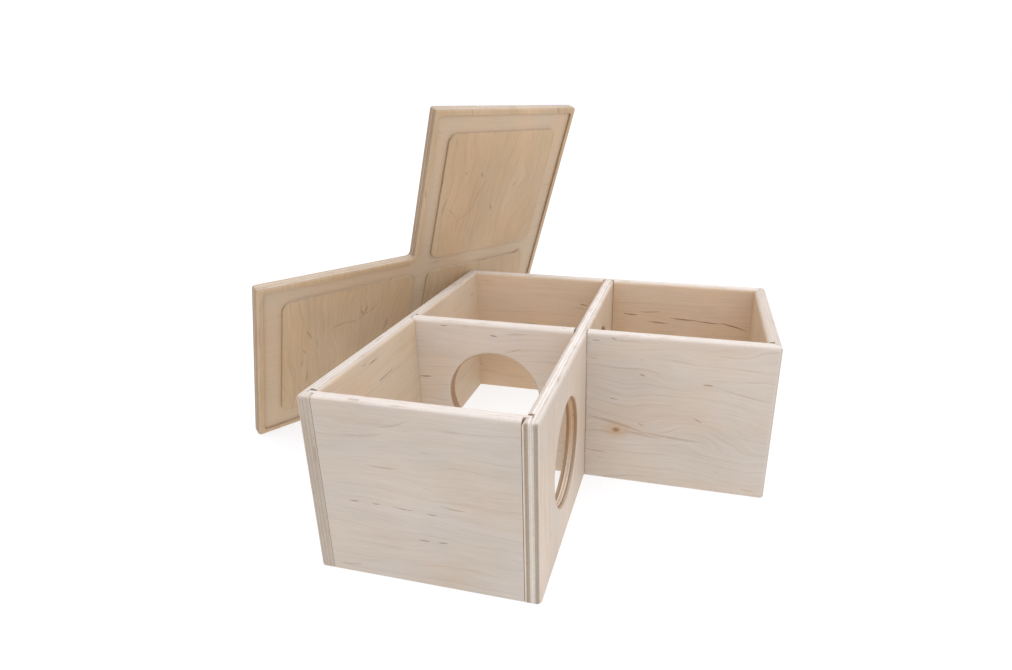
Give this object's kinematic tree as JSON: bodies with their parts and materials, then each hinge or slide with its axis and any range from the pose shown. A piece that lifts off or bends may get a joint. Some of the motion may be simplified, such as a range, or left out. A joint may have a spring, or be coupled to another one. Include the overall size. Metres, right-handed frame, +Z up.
{
  "type": "multi-chamber small-animal house",
  "caption": "L-shaped floorless plywood house for small rodents, with connected chambers, round doorways and a loose lid that leans against a corner.",
  "frame": {"origin": "on the floor, in the middle of mid_wall's underside, where the partition and right_front_panel meet it", "axes": "+Z up, +Y towards the back wall, +X towards the right wall; each chamber is measured from the two wall lines that cross at the origin"},
  "size_m": [0.538, 0.4834, 0.3412],
  "materials": {
    "birch_walls": "sanded, unfinished birch plywood",
    "birch_lid": "sanded, unfinished birch plywood, a warmer sheet"
  },
  "bodies": {
    "house": {"left_wall": "birch_walls", "front_panel": "birch_walls", "mid_wall": "birch_walls", "partition": "birch_walls", "back_wall": "birch_walls", "right_wall": "birch_walls", "right_front_panel": "birch_walls"},
    "lid": {"lid": "birch_lid"}
  },
  "joints": [
    {"name": "lid_lift", "type": "slide", "parent": "house", "child": "lid", "axis": [0, 0, 1], "range_m": [0, 0.2]}
  ]
}
